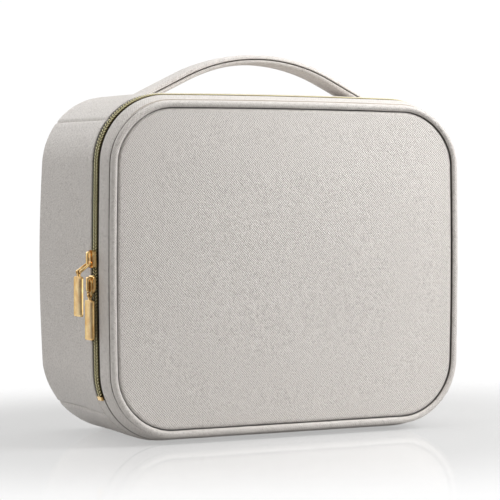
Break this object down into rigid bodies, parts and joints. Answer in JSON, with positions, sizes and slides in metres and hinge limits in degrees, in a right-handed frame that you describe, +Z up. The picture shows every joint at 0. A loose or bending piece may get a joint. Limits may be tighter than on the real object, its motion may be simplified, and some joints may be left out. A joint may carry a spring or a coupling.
{
  "type": "makeup train case",
  "caption": "Soft-sided upright makeup case with a piped front lid on a zipper, an arched top handle, padded dividers inside and slots for brushes in the lid.",
  "frame": {"origin": "middle of the bottom face, between the lid's front and the case's back", "axes": "+X along the case's width, to the right seen from the front; +Y from the lid towards the back; +Z up"},
  "size_m": [0.2747, 0.11, 0.2487],
  "materials": {
    "shell_leather": "satin cross-grain",
    "piping_leather": "satin cross-grain",
    "handle_leather": "satin cross-grain",
    "zip_chain": "gloss",
    "zip_tape": "woven",
    "gold_metal": "polished",
    "foam_board": "closed-cell foam",
    "stiff_board": "matte",
    "lining_cloth": "satin weave",
    "divider_cloth": "brushed loop",
    "sleeve_cloth": "satin weave",
    "elastic": "ribbed",
    "anchor_web": "matte"
  },
  "bodies": {
    "case": {"top_gusset": "shell_leather", "bottom_gusset": "shell_leather", "side_gusset_left": "shell_leather", "side_gusset_right": "shell_leather", "back_panel": "shell_leather", "top_stiffener": "foam_board", "bottom_stiffener": "foam_board", "side_stiffener_left": "foam_board", "side_stiffener_right": "foam_board", "back_board": "stiff_board", "wall_lining": "lining_cloth", "back_lining": "lining_cloth", "zipper_tape_case": "zip_tape", "zipper_coil_case": "zip_chain", "zipper_stop_left": "gold_metal", "zipper_stop_right": "gold_metal", "hinge_gusset": "shell_leather", "hinge_lining": "lining_cloth", "handle_anchor_left": "anchor_web", "handle_anchor_right": "anchor_web", "divider_long": "divider_cloth", "divider_lower": "divider_cloth", "divider_upper_left": "divider_cloth", "divider_upper_right": "divider_cloth"},
    "lid": {"lid_panel": "shell_leather", "lid_board": "stiff_board", "front_piping": "piping_leather", "lid_gusset": "shell_leather", "lid_stiffener": "foam_board", "lid_lining": "lining_cloth", "lid_wall_lining": "lining_cloth", "zipper_tape_lid": "zip_tape", "zipper_coil_lid": "zip_chain", "brush_sleeve": "sleeve_cloth", "brush_band": "elastic"},
    "handle": {"handle_strap": "handle_leather", "handle_core": "foam_board"},
    "upper_slider": {"upper_slider_body": "gold_metal"},
    "upper_link": {"upper_pull_link": "gold_metal"},
    "upper_plate": {"upper_pull_plate": "gold_metal"},
    "lower_slider": {"lower_slider_body": "gold_metal"},
    "lower_link": {"lower_pull_link": "gold_metal"},
    "lower_plate": {"lower_pull_plate": "gold_metal"}
  },
  "joints": [
    {"name": "lid_open", "type": "hinge", "parent": "case", "child": "lid", "pos_m": [0, -0.0355, 0], "axis": [1, 0, 0], "range_deg": [0, 100], "deforming": ["hinge_gusset", "hinge_lining"]},
    {"name": "handle_tilt", "type": "hinge", "parent": "case", "child": "handle", "pos_m": [0, 0, 0.2218], "axis": [1, 0, 0], "range_deg": [-20, 20]},
    {"name": "upper_slide", "type": "slide", "parent": "case", "child": "upper_slider", "axis": [0, 0, 1], "range_m": [0, 0.05]},
    {"name": "lower_slide", "type": "slide", "parent": "case", "child": "lower_slider", "axis": [0, 0, -1], "range_m": [0, 0.05]},
    {"name": "upper_link_swing", "type": "hinge", "parent": "upper_slider", "child": "upper_link", "pos_m": [-0.13398, -0.0355, 0.1145], "axis": [0, 1, 0], "range_deg": [0, 100]},
    {"name": "upper_plate_swing", "type": "hinge", "parent": "upper_link", "child": "upper_plate", "pos_m": [-0.14148, -0.0355, 0.10884], "axis": [0, 1, 0], "range_deg": [-5, 60]},
    {"name": "lower_link_swing", "type": "hinge", "parent": "lower_slider", "child": "lower_link", "pos_m": [-0.13398, -0.0355, 0.1033], "axis": [0, 1, 0], "range_deg": [0, 8]},
    {"name": "lower_plate_swing", "type": "hinge", "parent": "lower_link", "child": "lower_plate", "pos_m": [-0.13398, -0.0355, 0.0939], "axis": [0, 1, 0], "range_deg": [0, 14]}
  ]
}
